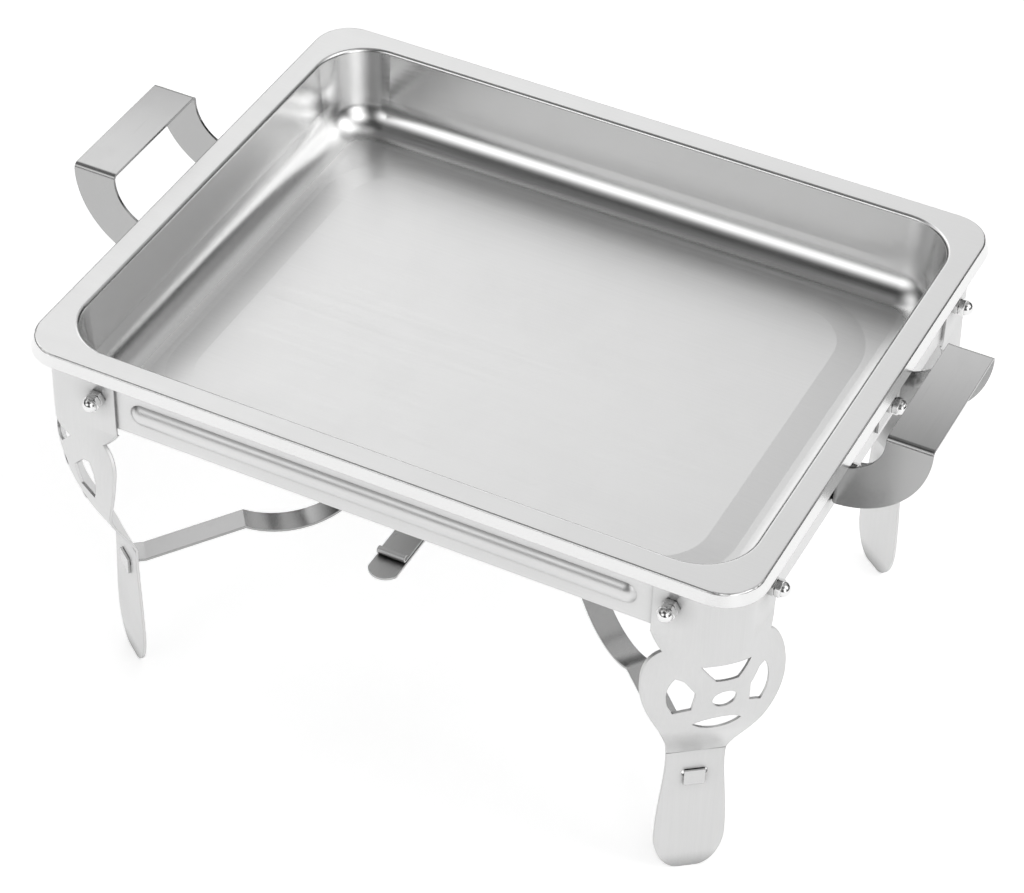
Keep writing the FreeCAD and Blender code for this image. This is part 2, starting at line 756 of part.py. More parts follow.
def make_tray():
    """Plate that lies on the crossing straps; its tabs sit in the gaps between them."""
    tray = box(-tray_half_length - tray_sheet, tray_half_length + tray_sheet,
               -tray_half_width - tray_sheet, tray_half_width + tray_sheet, tray_bottom, tray_top)
    ankle = foot_placement().multVec(Vector(0, ankle_inset + leg_sheet, 0))
    heading = math.atan2(-ankle.y, ankle.x)
    apart = strap_width / 2 + tray_hook_clearance
    across_end = (tray_half_length * math.sin(heading) - apart) / math.cos(heading)
    across_side = (tray_half_width * math.cos(heading) - apart) / math.sin(heading)
    low = tray_bottom - tray_hook_drop
    for side in (-1, 1):
        near, far = sorted((side * tray_half_length, side * (tray_half_length + tray_sheet)))
        tray = tray.fuse(box(near, far, -across_end, across_end, low, tray_bottom))
        near, far = sorted((side * tray_half_width, side * (tray_half_width + tray_sheet)))
        tray = tray.fuse(box(-across_side, across_side, near, far, low, tray_bottom))
    return tray.removeSplitter()


def burner_point(y, z):
    return Vector(burner_x, y, z)


def make_cup():
    """Open fuel cup with a flat floor, a rounded floor edge and a turned-out top edge."""
    outer = cup_radius
    inner = cup_radius - cup_sheet
    turn = cup_floor_radius
    turn_in = cup_floor_radius - cup_sheet
    corner = turn * (1 - math.sqrt(0.5))
    corner_in = cup_sheet + turn_in * (1 - math.sqrt(0.5))
    base = tray_top

    def at(radius, z):
        return Vector(burner_x + radius, 0, z)
    edges = [
        line(at(0, base), at(outer - turn, base)),
        arc(at(outer - turn, base), at(outer - corner, base + corner), at(outer, base + turn)),
        line(at(outer, base + turn), at(outer, cup_top - cup_sheet)),
        line(at(outer, cup_top - cup_sheet), at(outer + cup_flange, cup_top - cup_sheet)),
        line(at(outer + cup_flange, cup_top - cup_sheet), at(outer + cup_flange, cup_top)),
        line(at(outer + cup_flange, cup_top), at(inner, cup_top)),
        line(at(inner, cup_top), at(inner, base + turn)),
        arc(at(inner, base + turn), at(outer - corner_in, base + corner_in),
            at(outer - turn, base + cup_sheet)),
        line(at(outer - turn, base + cup_sheet), at(0, base + cup_sheet)),
        line(at(0, base + cup_sheet), at(0, base)),
    ]
    return Part.Face(Part.Wire(edges)).revolve(burner_point(0, 0), UP, 360)


def grip_rivet_heights():
    """Heights of the two rivets that hold the handle to the cup."""
    low = grip_top - grip_leg_length + lower_rivet_rise
    return [low, low + rivet_pitch]


def make_cup_grip():
    """Strip handle: a short leg against the cup, then level out to a rounded end."""
    half = grip_width / 2
    root = -(cup_radius + cup_flange + grip_gap)
    low = grip_top - grip_leg_length
    bend_in = grip_bend - grip_sheet
    corner = grip_bend * (1 - math.sqrt(0.5))
    corner_in = grip_sheet + bend_in * (1 - math.sqrt(0.5))

    def at(y, z):
        return Vector(burner_x - half, root - y, z)
    tip = grip_reach + root
    profile = plate([
        line(at(0, low), at(0, grip_top - grip_bend)),
        arc(at(0, grip_top - grip_bend), at(corner, grip_top - corner), at(grip_bend, grip_top)),
        line(at(grip_bend, grip_top), at(tip, grip_top)),
        line(at(tip, grip_top), at(tip, grip_top - grip_sheet)),
        line(at(tip, grip_top - grip_sheet), at(grip_bend, grip_top - grip_sheet)),
        arc(at(grip_bend, grip_top - grip_sheet), at(corner_in, grip_top - corner_in),
            at(grip_sheet, grip_top - grip_bend)),
        line(at(grip_sheet, grip_top - grip_bend), at(grip_sheet, low)),
        line(at(grip_sheet, low), at(0, low))], Vector(grip_width, 0, 0))

    def tip_at(x, y):
        return Vector(burner_x + x, -grip_reach + y, low)
    outline = plate([
        line(tip_at(half, grip_end_bow), tip_at(half, grip_reach)),
        line(tip_at(half, grip_reach), tip_at(-half, grip_reach)),
        line(tip_at(-half, grip_reach), tip_at(-half, grip_end_bow)),
        arc(tip_at(-half, grip_end_bow), tip_at(0, 0), tip_at(half, grip_end_bow))],
        UP * grip_leg_length)
    grip = profile.common(outline)
    pad = box(burner_x - half, burner_x + half, root, 0, low, grip_rivet_heights()[1] + pad_margin)
    wall = Part.makeCylinder(cup_radius, grip_top, burner_point(0, 0), UP)
    grip = grip.fuse(pad.cut(wall))
    hole = rivet_radius + rivet_clearance
    for z in grip_rivet_heights():
        start = burner_point(root - grip_sheet - cut_past, z)
        length = grip_sheet + grip_gap + cup_flange + cut_past
        grip = grip.cut(Part.makeCylinder(hole, length + cut_past, start, Y_PLANE))
    pivot_start = burner_point(pivot_y, grip_top - grip_sheet - cut_past)
    pivot = Part.makeCylinder(hole, grip_sheet + 2 * cut_past, pivot_start, UP)
    return grip.cut(pivot).removeSplitter()


def rivet(length):
    """Round-headed rivet on +Z: the shank starts at z = 0 and the head ends it."""
    shank = Part.makeCylinder(rivet_radius, length)
    radius = (rivet_head_radius ** 2 + rivet_head_height ** 2) / (2 * rivet_head_height)
    ball = Part.makeSphere(radius, Vector(0, 0, length + rivet_head_height - radius))
    cover = box(-rivet_head_radius, rivet_head_radius, -rivet_head_radius, rivet_head_radius,
                length, length + rivet_head_height)
    return shank.fuse(ball.common(cover))


def make_grip_rivets():
    """Two rivets through the handle's leg and its pad, stopping short of the cup's wall."""
    inner_end = cup_radius + rivet_end_gap
    outer_face = cup_radius + cup_flange + grip_gap + grip_sheet
    pieces = []
    for z in grip_rivet_heights():
        piece = rivet(outer_face - inner_end)
        piece.Placement = Placement(burner_point(-inner_end, z), Rotation(UP, Vector(0, -1, 0)))
        pieces.append(piece)
    return Part.makeCompound(pieces)


def make_pivot_rivet():
    """Upright rivet through the handle, on which the lid turns."""
    shank_low = grip_top - grip_sheet
    length = lid_top + pivot_head_gap - shank_low
    piece = rivet(length)
    piece.translate(burner_point(pivot_y, shank_low))
    return piece


def make_lid():
    """Flat lid with a raised middle and a tab that ends in a curled lip."""
    disc_radius = cup_radius + lid_overlap
    lid = Part.makeCylinder(disc_radius, lid_sheet, burner_point(0, lid_bottom), UP)
    boss = Part.makeCone(lid_boss_radius, lid_boss_radius - lid_boss_height, lid_boss_height,
                         burner_point(0, lid_top), UP)
    under_radius = lid_boss_radius - lid_boss_offset
    hollow = Part.makeCone(under_radius, under_radius - lid_boss_height, lid_boss_height,
                           burner_point(0, lid_bottom), UP)
    lid = lid.fuse(boss).cut(hollow)
    half = lid_tab_width / 2
    tab = box(burner_x - half, burner_x + half, -lid_tab_reach, -disc_radius + lid_tab_overlap,
              lid_bottom, lid_top)
    curl_centre = Vector(burner_x - half, -lid_tab_reach, lid_bottom + lid_curl_radius)
    curl = Part.makeCylinder(lid_curl_radius, lid_tab_width, curl_centre, X_PLANE)
    curl = curl.cut(Part.makeCylinder(lid_curl_radius - lid_sheet, lid_tab_width, curl_centre, X_PLANE))
    mouth = box(burner_x - half, burner_x + half, -lid_tab_reach, -lid_tab_reach + lid_curl_radius,
                lid_top, lid_top + lid_curl_radius)
    lid = lid.fuse([tab, curl.cut(mouth)])
    pivot_start = burner_point(pivot_y, lid_bottom - cut_past)
    pivot = Part.makeCylinder(rivet_radius + pivot_clearance, lid_sheet + 2 * cut_past, pivot_start, UP)
    return lid.cut(pivot).removeSplitter()


def build():
    save(make_pan(), "pan")
    front_rail = make_front_rail()
    save(front_rail, "front_rail")
    save(mirrored(front_rail, False, True), "back_rail")
    right_rail = make_right_rail()
    save(right_rail, "right_rail")
    save(mirrored(right_rail, True, False), "left_rail")
    leg = make_front_right_leg()
    save(leg, "front_right_leg")
    save(mirrored(leg, True, False), "front_left_leg")
    save(mirrored(leg, False, True), "back_right_leg")
    save(mirrored(leg, True, True), "back_left_leg")
    names = ["screws", "hex_nuts", "cap_nuts"]
    for name, group in zip(names, bolt_sets(leg_bolt_places(), rail_sheet + leg_sheet)):
        save(group, "leg_" + name)
    handle = make_right_handle()
    save(handle, "right_handle")
    save(mirrored(handle, True, False), "left_handle")
    places = []
    for side in (-1, 1):
        for y, z in handle_bolt_places():
            places.append((Vector(side * (rail_outer_x + handle_sheet), y, z), Vector(side, 0, 0)))
    for name, group in zip(names, bolt_sets(places, rail_sheet + handle_sheet)):
        save(group, "handle_" + name)
    save(make_strap(strap_foot + strap_platform_rise + strap_thick), "upper_strap")
    save(mirrored(make_strap(strap_foot + strap_platform_rise), True, False), "lower_strap")
    save(make_tray(), "burner_tray")
    save(make_cup(), "fuel_cup")
    save(make_cup_grip(), "cup_grip")
    save(make_grip_rivets(), "grip_rivets")
    save(make_pivot_rivet(), "pivot_rivet")
    save(make_lid(), "cup_lid")


build()
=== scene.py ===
"""Looks of the half-size chafing dish: procedural steels, detailed nuts, studio light and camera."""

import math

import bmesh
import bpy
from mathutils import Matrix, Vector


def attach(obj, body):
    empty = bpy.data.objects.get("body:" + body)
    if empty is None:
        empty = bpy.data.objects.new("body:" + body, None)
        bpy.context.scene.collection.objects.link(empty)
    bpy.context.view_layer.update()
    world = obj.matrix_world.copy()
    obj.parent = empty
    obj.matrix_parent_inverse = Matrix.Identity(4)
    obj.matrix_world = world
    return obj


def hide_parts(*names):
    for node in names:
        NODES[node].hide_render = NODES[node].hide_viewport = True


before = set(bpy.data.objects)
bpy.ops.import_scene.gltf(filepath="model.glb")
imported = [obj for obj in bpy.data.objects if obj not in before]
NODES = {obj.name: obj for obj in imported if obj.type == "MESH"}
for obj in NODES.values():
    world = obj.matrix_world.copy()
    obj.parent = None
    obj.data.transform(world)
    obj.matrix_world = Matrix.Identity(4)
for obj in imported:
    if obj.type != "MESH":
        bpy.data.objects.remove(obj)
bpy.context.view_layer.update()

MM = 0.001

# Camera, worked out from the photograph's perspective; places in metres, angles in degrees
CAMERA_PLACE = (0.4768, -0.9932, 1.0686)
CAMERA_AZIMUTH = 25.7203
CAMERA_ELEVATION = 41.4167
CAMERA_ROLL = -1.7445
CAMERA_LENS = 118.4
CAMERA_SENSOR = 36.0
CAMERA_NEAR = 0.05
CAMERA_FAR = 50.0


def make_camera():
    """Camera at the photograph's place; azimuth 0 looks along +Y."""
    azimuth = math.radians(CAMERA_AZIMUTH)
    elevation = math.radians(CAMERA_ELEVATION)
    roll = math.radians(CAMERA_ROLL)
    back = Vector((math.sin(azimuth) * math.cos(elevation),
                   -math.cos(azimuth) * math.cos(elevation),
                   math.sin(elevation)))
    right = (-back).cross(Vector((0, 0, 1))).normalized()
    down = (-back).cross(right)
    right, down = (math.cos(roll) * right + math.sin(roll) * down,
                   -math.sin(roll) * right + math.cos(roll) * down)
    turn = Matrix((right, -down, back)).transposed()
    data = bpy.data.cameras.new("camera")
    data.sensor_width = CAMERA_SENSOR
    data.lens = CAMERA_LENS
    data.clip_start = CAMERA_NEAR
    data.clip_end = CAMERA_FAR
    camera = bpy.data.objects.new("camera", data)
    camera.matrix_world = Matrix.Translation(CAMERA_PLACE) @ turn.to_4x4()
    bpy.context.scene.collection.objects.link(camera)
    bpy.context.scene.camera = camera


class Graph:
    """Small helper that adds and joins shader nodes."""

    def __init__(self, tree):
        self.tree = tree
        tree.nodes.clear()

    def add(self, kind, settings=None, **inputs):
        """New node; inputs are numbers or sockets, named by the node's input names."""
        node = self.tree.nodes.new(kind)
        for name, value in (settings or {}).items():
            setattr(node, name, value)
        for name, value in inputs.items():
            self.put(node, name.replace("_", " "), value)
        return node

    def put(self, node, name, value):
        """Set or link one input, found by its name or by its number written as text."""
        socket = node.inputs[int(name)] if name.isdigit() else node.inputs[name]
        if isinstance(value, bpy.types.NodeSocket):
            self.tree.links.new(value, socket)
        else:
            socket.default_value = value

    def stretched(self, scale, turn=(0, 0, 0)):
        """Object coordinates in metres, scaled apart along the three axes."""
        place = self.add("ShaderNodeTexCoord")
        mapping = self.add("ShaderNodeMapping", Vector=place.outputs["Object"], Scale=scale)
        mapping.inputs["Rotation"].default_value = turn
        return mapping.outputs["Vector"]

    def noise(self, scale, turn=(0, 0, 0), detail=2.0, roughness=0.5):
        """Noise from 0 to 1 with the given number of waves per metre along each axis."""
        node = self.add("ShaderNodeTexNoise", Vector=self.stretched(scale, turn),
                        Scale=1.0, Detail=detail, Roughness=roughness)
        return node.outputs["Fac"]

    def spread(self, value, low, high, to_low, to_high):
        """Map low..high to to_low..to_high and hold it there."""
        node = self.add("ShaderNodeMapRange", {"clamp": True}, Value=value)
        for name, number in (("From Min", low), ("From Max", high),
                             ("To Min", to_low), ("To Max", to_high)):
            node.inputs[name].default_value = number
        return node.outputs["Result"]

    def maths(self, operation, *values):
        node = self.add("ShaderNodeMath", {"operation": operation})
        for index, value in enumerate(values):
            self.put(node, str(index), value)
        return node.outputs["Value"]

    def scaled(self, value, factor):
        return self.maths("MULTIPLY", value, factor)

    def vector_maths(self, operation, *values):
        """Vector maths node; its operation decides which of its outputs counts."""
        node = self.add("ShaderNodeVectorMath", {"operation": operation})
        for index, value in enumerate(values):
            self.put(node, str(index), value)
        return node

    def mix_colour(self, factor, first, second):
        node = self.add("ShaderNodeMix", {"data_type": "RGBA"})
        for index, value in ((0, factor), (6, first), (7, second)):
            self.put(node, str(index), value)
        return node.outputs[2]

    def finish(self, shader):
        """Join the last shader to the material's output."""
        out = self.add("ShaderNodeOutputMaterial")
        self.put(out, "Surface", shader.outputs["BSDF"])


def grey(value):
    return (value, value, value, 1.0)


# Brushed grain, in waves per metre across and along the brushing
GRAIN_FINE = 2600.0
GRAIN_LONG = 34.0
GRAIN_EVEN = 900.0
GRAINS = {
    "x": (GRAIN_LONG, GRAIN_FINE, GRAIN_FINE),
    "y": (GRAIN_FINE, GRAIN_LONG, GRAIN_FINE),
    "z": (GRAIN_FINE, GRAIN_FINE, GRAIN_LONG),
    "all": (GRAIN_EVEN, GRAIN_EVEN, GRAIN_EVEN),
}
COARSE_GRAIN = 0.22
FINE_SHARE = 0.6
COARSE_SHARE = 0.4
BUMP_DEPTH = 0.006 * MM
# Noise stays mostly between these two values
NOISE_LOW = 0.3
NOISE_HIGH = 0.7

# Soft mottling, and smudges that only change the shine
CLOUDS = (14.0, 14.0, 14.0)
SMUDGES = (46.0, 31.0, 38.0)
SMUDGE_TURN = (0.4, 0.3, 0.8)
SMUDGE_LOW = 0.45
SMUDGE_HIGH = 0.75

# Two sets of hairline scratches: waves per metre, turn, and the noise above which a line shows
HAIRLINES = [
    ((1500.0, 22.0, 1500.0), (0.1, 0.2, 0.5), 0.70),
    ((20.0, 1700.0, 1700.0), (0.2, -0.1, -0.35), 0.72),
]
LINE_BLEND = 0.08
LINE_TONE = 0.03
LINE_ROUGHNESS = 0.08
LINE_DEPTH = 0.35

# Edges: width, and the cosines between true and rounded normal at which the edge band starts and is full
EDGE_WIDTH = 0.35 * MM
EDGE_BAND_START = 0.995
EDGE_BAND_FULL = 0.86
WEAR_POLISH = 0.03

# Painted shade in narrow gaps: how far it looks, and the openness at which it is full and gone
GAP_SHADE_REACH = 4.0 * MM
WIDE_GAP_SHADE_REACH = 9.0 * MM
GAP_SHADE_FULL = 0.30
GAP_SHADE_GONE = 0.85

# A strap's tongue starts at this distance from the dish's middle axis
TONGUE_FROM = 169.2 * MM
TONGUE_BLEND = 0.8 * MM

ROUGHNESS_DOWN = 0.035
ROUGHNESS_UP = 0.045
SMUDGE_DOWN = 0.6
SMUDGE_UP = 2.2
SMOOTHEST = 0.05
# Upward part of the normal at which a face starts to count as level, and is level
LEVEL_START = 0.97
LEVEL_FULL = 0.995
BLUE_SHARE = 0.998


def scratch_lines(graph, strength):
    """Both sets of hairlines as one mask."""
    masks = []
    for scale, turn, start in HAIRLINES:
        hair = graph.noise(scale, turn=turn, detail=1.0)
        masks.append(graph.spread(hair, start, start + LINE_BLEND, 0.0, 1.0))
    return graph.scaled(graph.maths("MAXIMUM", *masks), strength)


def steel(name, tone, roughness, grain, grain_depth=0.5, contrast=0.03, mottle=0.02,
          scratches=0.4, edge_tone=0.035, gap_shade=0.35, gap_shade_reach=GAP_SHADE_REACH, crown=0.0,
          flat_roughness=None, tongue_tone=0.0):
    """Brushed or satin steel: grain, soft mottling, hairline scratches, edges shifted in tone and painted
    shade in narrow gaps.

    Crown is the slope per metre by which the shading normals of a pressed sheet bow along Y; the solid
    stays flat. Level faces may be rougher than the drawn bends beside them. A strap's tongue, far out at
    the ankle beyond TONGUE_FROM, is made lighter by tongue_tone.
    """
    material = bpy.data.materials.new(name)
    material.use_nodes = True
    graph = Graph(material.node_tree)
    along = GRAINS[grain]
    fine = graph.noise(along, detail=3.0, roughness=0.6)
    coarse = graph.noise(tuple(number * COARSE_GRAIN for number in along), detail=2.0)
    brushing = graph.maths("ADD", graph.scaled(fine, FINE_SHARE), graph.scaled(coarse, COARSE_SHARE))
    clouds = graph.noise(CLOUDS, detail=3.0)
    smudges = graph.noise(SMUDGES, turn=SMUDGE_TURN, detail=4.0, roughness=0.62)
    lines = scratch_lines(graph, scratches)

    bevel = graph.add("ShaderNodeBevel", {"samples": 3}, Radius=EDGE_WIDTH)
    shape = graph.add("ShaderNodeNewGeometry")
    facing = graph.vector_maths("DOT_PRODUCT", bevel.outputs["Normal"], shape.outputs["Normal"])
    edge_band = graph.spread(facing.outputs["Value"], EDGE_BAND_START, EDGE_BAND_FULL, 0.0, 1.0)
    # Painted shade: the colour darkens where ambient occlusion finds surfaces close by, in gaps and under
    # parts
    open_air = graph.add("ShaderNodeAmbientOcclusion", {"samples": 2}, Distance=gap_shade_reach)
    unshaded = graph.spread(open_air.outputs["AO"], GAP_SHADE_FULL, GAP_SHADE_GONE, 1.0 - gap_shade, 1.0)

    shade = graph.spread(brushing, NOISE_LOW, NOISE_HIGH, 1.0 - contrast, 1.0 + contrast)
    cloud_shade = graph.spread(clouds, NOISE_LOW, NOISE_HIGH, 1.0 - mottle, 1.0 + mottle)
    level = graph.scaled(graph.scaled(shade, cloud_shade), tone)
    # Edges shift in tone by edge_tone: lighter where it is positive, darker where it is negative
    level = graph.maths("ADD", level, graph.scaled(edge_band, edge_tone))
    level = graph.maths("SUBTRACT", level, graph.scaled(lines, LINE_TONE))
    if tongue_tone:
        outwards = graph.vector_maths("LENGTH", graph.stretched((1.0, 1.0, 0.0)))
        tongue = graph.spread(outwards.outputs["Value"], TONGUE_FROM, TONGUE_FROM + TONGUE_BLEND,
                              0.0, tongue_tone)
        level = graph.maths("ADD", level, tongue)
    # Apply the painted shade of the gaps to the colour
    level = graph.scaled(level, unshaded)
    colour = graph.add("ShaderNodeCombineColor", Red=level, Green=level,
                       Blue=graph.scaled(level, BLUE_SHARE))

    rough = graph.spread(brushing, NOISE_LOW, NOISE_HIGH,
                         roughness - ROUGHNESS_DOWN, roughness + ROUGHNESS_UP)
    smudged = graph.spread(smudges, SMUDGE_LOW, SMUDGE_HIGH, -SMUDGE_DOWN * mottle, SMUDGE_UP * mottle)
    rough = graph.maths("ADD", rough, smudged)
    rough = graph.maths("ADD", rough, graph.scaled(lines, LINE_ROUGHNESS))
    rough = graph.maths("SUBTRACT", rough, graph.scaled(edge_band, WEAR_POLISH))
    if flat_roughness is not None:
        axes = graph.add("ShaderNodeSeparateXYZ", Vector=shape.outputs["Normal"])
        level_face = graph.spread(axes.outputs["Z"], LEVEL_START, LEVEL_FULL,
                                  0.0, flat_roughness - roughness)
        rough = graph.maths("ADD", rough, level_face)
    rough = graph.maths("MAXIMUM", rough, SMOOTHEST)

    bowed = graph.vector_maths("ADD", bevel.outputs["Normal"], graph.stretched((0.0, crown, 0.0)))
    normal = graph.vector_maths("NORMALIZE", bowed.outputs["Vector"])
    height = graph.maths("SUBTRACT", brushing, graph.scaled(lines, LINE_DEPTH))
    bump = graph.add("ShaderNodeBump", Strength=grain_depth, Height=height, Distance=BUMP_DEPTH,
                     Normal=normal.outputs["Vector"])

    shader = graph.add("ShaderNodeBsdfPrincipled", Metallic=1.0, Roughness=rough,
                       Base_Color=colour.outputs["Color"], Normal=bump.outputs["Normal"])
    graph.finish(shader)
    return material


def finish_nodes(names, material):
    """Give a material to CAD nodes, in every material slot that they have."""
    for name in names:
        mesh = NODES[name].data
        if not mesh.materials:
            mesh.materials.append(material)
        for index in range(len(mesh.materials)):
            mesh.materials[index] = material


# Bolts: places of their clamped outer faces, and the sizes of their nuts and heads
BOLT_HEIGHT = 168.0 * MM
LEG_CORNER_X = 158.4 * MM
LEG_CORNER_Y = 126.9 * MM
BOLT_FROM_CORNER = 28.9 * MM
HANDLE_BOLT_Y = 23.0 * MM
HANDLE_BOLT_HEIGHT = 169.3 * MM
CLAMPED = 2.4 * MM
NUT_FLATS = 7.0 * MM
NUT_BORE = 2.0 * MM
NUT_HEIGHT = 2.8 * MM
CAP_HEX = 2.6 * MM
CAP_DOME = 3.2 * MM
CAP_SOCKET = 3.8 * MM
SHANK = 1.95 * MM
SHANK_END = 6.2 * MM
SHANK_CHAMFER = 0.4 * MM
HEAD = 4.2 * MM
HEAD_HEIGHT = 1.6 * MM

# Fine forms of the nuts: the bore's mouth, the dome's groove, the flat left at a tip
MOUTH_CHAMFER = 0.25 * MM
GROOVE = 0.05 * MM
TIP = 0.05 * MM
CORNER_RADIUS = NUT_FLATS / 2 * 1.135
FACE_RADIUS = NUT_FLATS / 2 * 0.955
CHAMFER_SLOPE = math.tan(math.radians(30))

# How finely the turned forms are divided, and the angle from which an edge stays sharp, in degrees
AROUND = 72
DOME_STEPS = 15
DOME_STEP_ANGLE = 6
HEAD_STEPS = 12
SHARP_ANGLE = 28


def leg_bolts():
    """Places and directions of the two bolts at each corner."""
    places = []
    for side_x in (-1, 1):
        for side_y in (-1, 1):
            x = side_x * LEG_CORNER_X
            y = side_y * LEG_CORNER_Y
            long_side = Vector((x - side_x * BOLT_FROM_CORNER, y, BOLT_HEIGHT))
            end_side = Vector((x, y - side_y * BOLT_FROM_CORNER, BOLT_HEIGHT))
            places.append((long_side, Vector((0, side_y, 0))))
            places.append((end_side, Vector((side_x, 0, 0))))
    return places


def handle_bolts():
    """Places and directions of the two bolts of each handle."""
    return [(Vector((side_x * LEG_CORNER_X, side_y * HANDLE_BOLT_Y, HANDLE_BOLT_HEIGHT)),
             Vector((side_x, 0, 0))) for side_x in (-1, 1) for side_y in (-1, 1)]


def hex_radius(angle):
    """Distance from the axis to the hexagon's side, with slightly rounded corners."""
    step = math.pi / 3
    offset = (angle % step) - step / 2
    return min(NUT_FLATS / 2 / math.cos(offset), CORNER_RADIUS)


def chamfered(height, upwards):
    """Height of the chamfer's edge round the hexagon."""
    def at(angle):
        drop = max(hex_radius(angle) - FACE_RADIUS, 0) * CHAMFER_SLOPE
        return height - drop if upwards else height + drop
    return at


def ring(radius, height):
    """One ring of a turned form; the radius and height may change round it."""
    points = []
    for index in range(AROUND):
        angle = 2 * math.pi * index / AROUND
        r = radius(angle) if callable(radius) else radius
        z = height(angle) if callable(height) else height
        points.append((r * math.cos(angle), r * math.sin(angle), z))
    return points


def turned(mesh, rings, place, closed):
    """Skin a list of rings; closed joins the last ring to the first, else both ends get caps."""
    rows = [[mesh.verts.new(place @ Vector(point)) for point in points] for points in rings]
    pairs = list(zip(rows, rows[1:]))
    if closed:
        pairs.append((rows[-1], rows[0]))
    for low, high in pairs:
        for index in range(AROUND):
            following = (index + 1) % AROUND
            mesh.faces.new((low[index], low[following], high[following], high[index]))
    if not closed:
        mesh.faces.new(list(reversed(rows[0])))
        mesh.faces.new(rows[-1])


def nut_rings():
    """Hexagon nut with chamfered corners and bore mouths."""
    mouth = NUT_BORE + MOUTH_CHAMFER
    return [ring(NUT_BORE, MOUTH_CHAMFER), ring(mouth, 0.0), ring(FACE_RADIUS, 0.0),
            ring(hex_radius, chamfered(0.0, False)), ring(hex_radius, chamfered(NUT_HEIGHT, True)),
            ring(FACE_RADIUS, NUT_HEIGHT), ring(mouth, NUT_HEIGHT),
            ring(NUT_BORE, NUT_HEIGHT - MOUTH_CHAMFER)]


def cap_rings():
    """Domed cap nut: socket, hexagon, a fine groove and the dome."""
    base = NUT_HEIGHT
    top = base + CAP_HEX
    rings = [ring(TIP, base + CAP_SOCKET), ring(NUT_BORE, base + CAP_SOCKET), ring(NUT_BORE, base),
             ring(FACE_RADIUS, base), ring(hex_radius, chamfered(base, False)),
             ring(hex_radius, chamfered(top, True)), ring(FACE_RADIUS, top),
             ring(CAP_DOME + GROOVE, top - GROOVE)]
    for step in range(DOME_STEPS):
        tilt = math.radians(DOME_STEP_ANGLE * step)
        height = top + GROOVE + (CAP_DOME - GROOVE) * math.sin(tilt)
        rings.append(ring(CAP_DOME * math.cos(tilt), height))
    rings.append(ring(TIP, top + CAP_DOME))
    return rings


def screw_rings():
    """Domed head under the sheet and the shank's end."""
    ball = (HEAD ** 2 + HEAD_HEIGHT ** 2) / (2 * HEAD_HEIGHT)
    crest = -CLAMPED - HEAD_HEIGHT
    rings = [ring(TIP, crest)]
    for step in range(1, HEAD_STEPS + 1):
        radius = HEAD * step / HEAD_STEPS
        rings.append(ring(radius, crest + ball - math.sqrt(ball ** 2 - radius ** 2)))
    rings += [ring(SHANK, -CLAMPED), ring(SHANK, SHANK_END - SHANK_CHAMFER),
              ring(SHANK - SHANK_CHAMFER, SHANK_END)]
    return rings


def make_fasteners(name, replaced, rings, closed, places, material):
    """One object with every copy of a nut or screw."""
    mesh = bmesh.new()
    for point, direction in places:
        turn = Vector((0, 0, 1)).rotation_difference(direction).to_matrix().to_4x4()
        turned(mesh, rings, Matrix.Translation(point) @ turn, closed)
    bmesh.ops.recalc_face_normals(mesh, faces=mesh.faces)
    data = bpy.data.meshes.new(name)
    mesh.to_mesh(data)
    mesh.free()
    for polygon in data.polygons:
        polygon.use_smooth = True
    data.set_sharp_from_angle(angle=math.radians(SHARP_ANGLE))
    data.materials.append(material)
    piece = bpy.data.objects.new(name, data)
    bpy.context.scene.collection.objects.link(piece)
    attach(piece, "frame")
    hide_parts(replaced)


# Table top: half its side in metres, its two tones and how it shines
TABLE_HALF = 6.0
TABLE_TINT = (6.0, 6.0, 6.0)
TINT_LOW = 0.35
TINT_HIGH = 0.65
TABLE_DARK = 0.93
TABLE_LIGHT = 0.95
TABLE_ROUGHNESS = 0.75
TABLE_SPECULAR = 0.15
TABLE_GLOW = 0.51


def make_floor():
    """Plain pale table top under the dish."""
    mesh = bpy.data.meshes.new("floor")
    half = TABLE_HALF
    corners = [(-half, -half, 0), (half, -half, 0), (half, half, 0), (-half, half, 0)]
    mesh.from_pydata(corners, [], [(0, 1, 2, 3)])
    floor = bpy.data.objects.new("floor", mesh)
    bpy.context.scene.collection.objects.link(floor)
    material = bpy.data.materials.new("pale_table")
    material.use_nodes = True
    graph = Graph(material.node_tree)
    tint = graph.spread(graph.noise(TABLE_TINT, detail=3.0), TINT_LOW, TINT_HIGH, 0.0, 1.0)
    colour = graph.mix_colour(tint, grey(TABLE_DARK), grey(TABLE_LIGHT))
    shader = graph.add("ShaderNodeBsdfPrincipled", Base_Color=colour, Roughness=TABLE_ROUGHNESS,
                       Specular_IOR_Level=TABLE_SPECULAR, Emission_Color=grey(1.0),
                       Emission_Strength=TABLE_GLOW)
    graph.finish(shader)
    mesh.materials.append(material)


# Soft boxes round the table: azimuth from the front towards +X and elevation in degrees, brightness
SOFT_BOXES = [
    (48.0, 38.0, 2.4), (50.0, 12.0, 2.0), (96.0, 38.0, 2.2), (100.0, 62.0, 1.7), (122.0, 36.0, 0.7),
    (150.0, 56.0, 0.5), (178.0, 42.0, 0.5), (196.0, 22.0, 1.3), (214.0, 38.0, 1.1), (234.0, 48.0, 1.3),
    (252.0, 38.0, 0.8), (285.0, 42.0, 1.1), (322.0, 20.0, 0.9), (342.0, 28.0, 1.6), (0.0, 88.0, 0.5),
]
# The higher this power, the smaller each box of light
SOFTNESS = 30.0


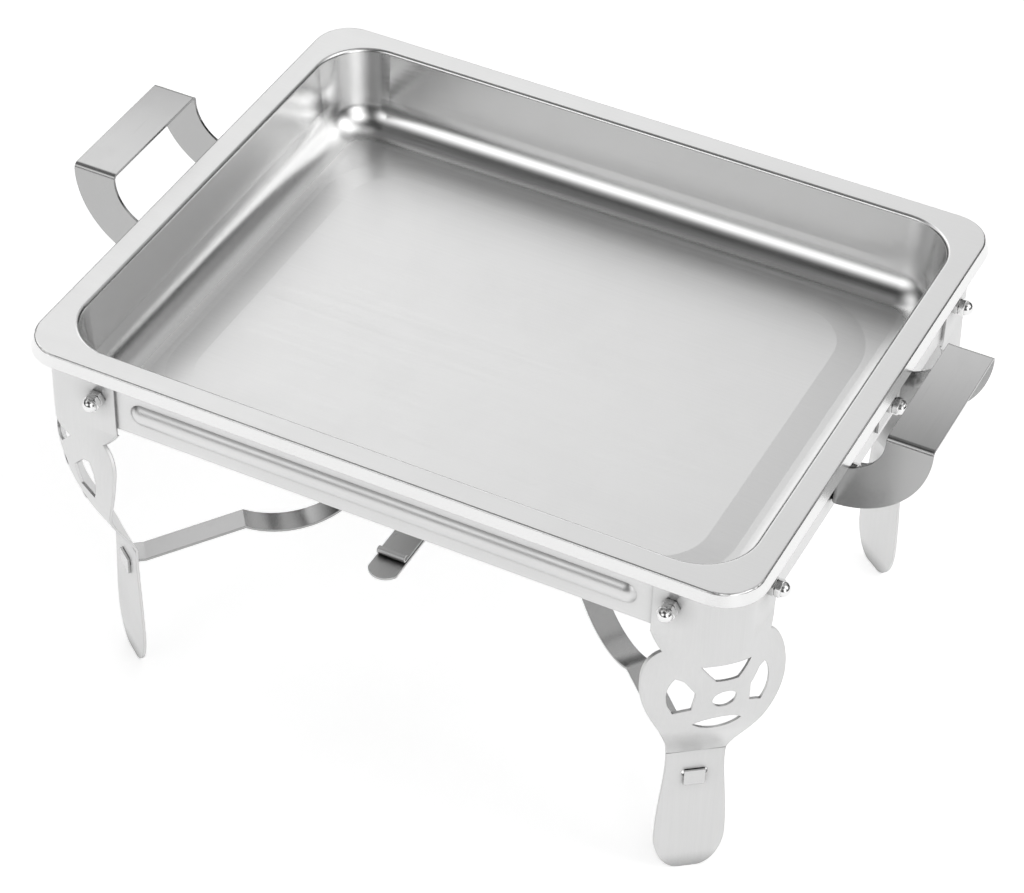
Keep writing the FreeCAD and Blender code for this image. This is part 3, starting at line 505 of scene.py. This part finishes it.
def make_world():
    """Studio surroundings made of soft-edged boxes of light in the dark."""
    world = bpy.data.worlds.new("studio")
    bpy.context.scene.world = world
    world.use_nodes = True
    graph = Graph(world.node_tree)
    place = graph.add("ShaderNodeTexCoord")
    total = 0.0
    for azimuth, elevation, brightness in SOFT_BOXES:
        turn = math.radians(azimuth)
        rise = math.radians(elevation)
        aim = (math.sin(turn) * math.cos(rise), -math.cos(turn) * math.cos(rise), math.sin(rise))
        facing = graph.vector_maths("DOT_PRODUCT", place.outputs["Generated"], aim)
        near = graph.maths("POWER", graph.maths("MAXIMUM", facing.outputs["Value"], 0.0), SOFTNESS)
        total = graph.maths("ADD", total, graph.scaled(near, brightness))
    light = graph.add("ShaderNodeBackground", Color=grey(1.0), Strength=total)
    out = graph.add("ShaderNodeOutputWorld")
    graph.put(out, "Surface", light.outputs["Background"])


# The depth and reach of each steel's painted shade in narrow gaps are set below
pan_steel = steel("pan_steel", tone=0.80, roughness=0.22, grain="x", mottle=0.006, scratches=0.10,
                  gap_shade=0.25, flat_roughness=0.42)
stand_steel = steel("stand_steel", tone=0.67, roughness=0.32, grain="x", edge_tone=-0.12,
                    gap_shade=0.7, gap_shade_reach=WIDE_GAP_SHADE_REACH)
leg_steel = steel("leg_steel", tone=0.65, roughness=0.34, grain="z", mottle=0.025, edge_tone=-0.12,
                  gap_shade=0.7, gap_shade_reach=WIDE_GAP_SHADE_REACH)
handle_steel = steel("handle_steel", tone=0.43, roughness=0.20, grain="y", grain_depth=0.3,
                     edge_tone=-0.10, crown=2.9)
strap_steel = steel("strap_steel", tone=0.38, roughness=0.18, grain="y", grain_depth=0.3, mottle=0.03,
                    scratches=0.5, edge_tone=-0.10, tongue_tone=0.26)
bolt_steel = steel("bolt_steel", tone=0.82, roughness=0.10, grain="all", contrast=0.04, mottle=0.025,
                   scratches=0.6, gap_shade=0.7)
burner_steel = steel("burner_steel", tone=0.48, roughness=0.28, grain="y", contrast=0.04, mottle=0.03,
                     scratches=0.5)

finish_nodes(["pan"], pan_steel)
finish_nodes(["front_rail", "back_rail", "left_rail", "right_rail"], stand_steel)
finish_nodes(["front_right_leg", "front_left_leg", "back_right_leg", "back_left_leg"], leg_steel)
finish_nodes(["right_handle", "left_handle"], handle_steel)
finish_nodes(["upper_strap", "lower_strap", "burner_tray"], strap_steel)
finish_nodes(["fuel_cup", "cup_grip", "grip_rivets", "pivot_rivet", "cup_lid"], burner_steel)
for group, places in (("leg", leg_bolts()), ("handle", handle_bolts())):
    make_fasteners(group + "_chamfered_nuts", group + "_hex_nuts", nut_rings(), True, places, bolt_steel)
    make_fasteners(group + "_domed_nuts", group + "_cap_nuts", cap_rings(), False, places, bolt_steel)
    make_fasteners(group + "_domed_screws", group + "_screws", screw_rings(), False, places, bolt_steel)

make_camera()
make_floor()
make_world()
bpy.context.scene.view_settings.view_transform = "Standard"
